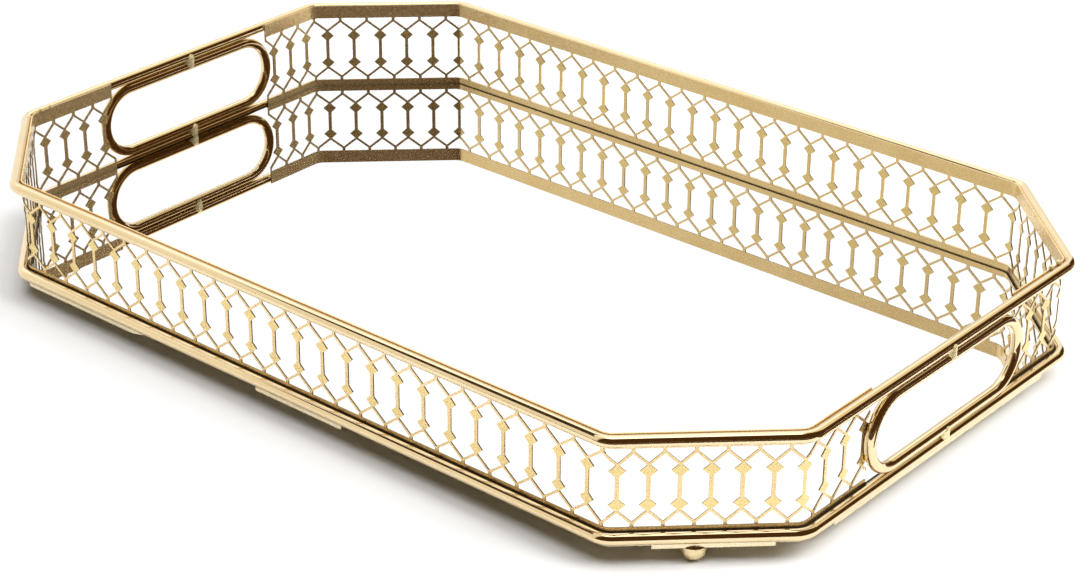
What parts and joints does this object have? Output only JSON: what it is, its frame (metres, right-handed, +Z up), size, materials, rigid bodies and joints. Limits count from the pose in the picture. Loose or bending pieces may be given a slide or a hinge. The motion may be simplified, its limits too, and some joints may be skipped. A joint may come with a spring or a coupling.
{
  "type": "dresser vanity tray",
  "caption": "Eight-sided vanity tray with a mirror floor, a low pierced metal gallery between two gilt rod rails, oval handle rings in the short sides and small ball feet.",
  "frame": {"origin": "centre of the footprint, on the surface that the feet stand on", "axes": "+X along the tray's long way, +Y along its short way, +Z up"},
  "size_m": [0.3852, 0.2552, 0.0486],
  "materials": {
    "gilt_rod": "polished pale gold plating",
    "gilt_strip": "bright pale gold plating on stamped strip",
    "gilt_solder": "soft solder, plated over",
    "gilt_plate": "pale gold lacquer on steel sheet",
    "gilt_foot": "satin gold plating",
    "mirror_floor": "silvered float glass with ground edge",
    "foam_pad": "white double-sided foam",
    "steel_rivet": "plain"
  },
  "bodies": {
    "root": {"top_rail": "gilt_rod", "bottom_rail": "gilt_rod", "left_handle_ring": "gilt_rod", "right_handle_ring": "gilt_rod", "front_gallery_strip": "gilt_strip", "back_gallery_strip": "gilt_strip", "left_handle_top_joint": "gilt_solder", "left_handle_bottom_joint": "gilt_solder", "right_handle_top_joint": "gilt_solder", "right_handle_bottom_joint": "gilt_solder", "strip_solder_beads": "gilt_solder", "frame_solder_tacks": "gilt_solder", "base_plate": "gilt_plate", "mirror_glass": "mirror_floor", "mirror_adhesive_pads": "foam_pad", "front_left_foot": "gilt_foot", "front_right_foot": "gilt_foot", "back_left_foot": "gilt_foot", "back_right_foot": "gilt_foot", "foot_rivets": "steel_rivet"}
  },
  "joints": []
}
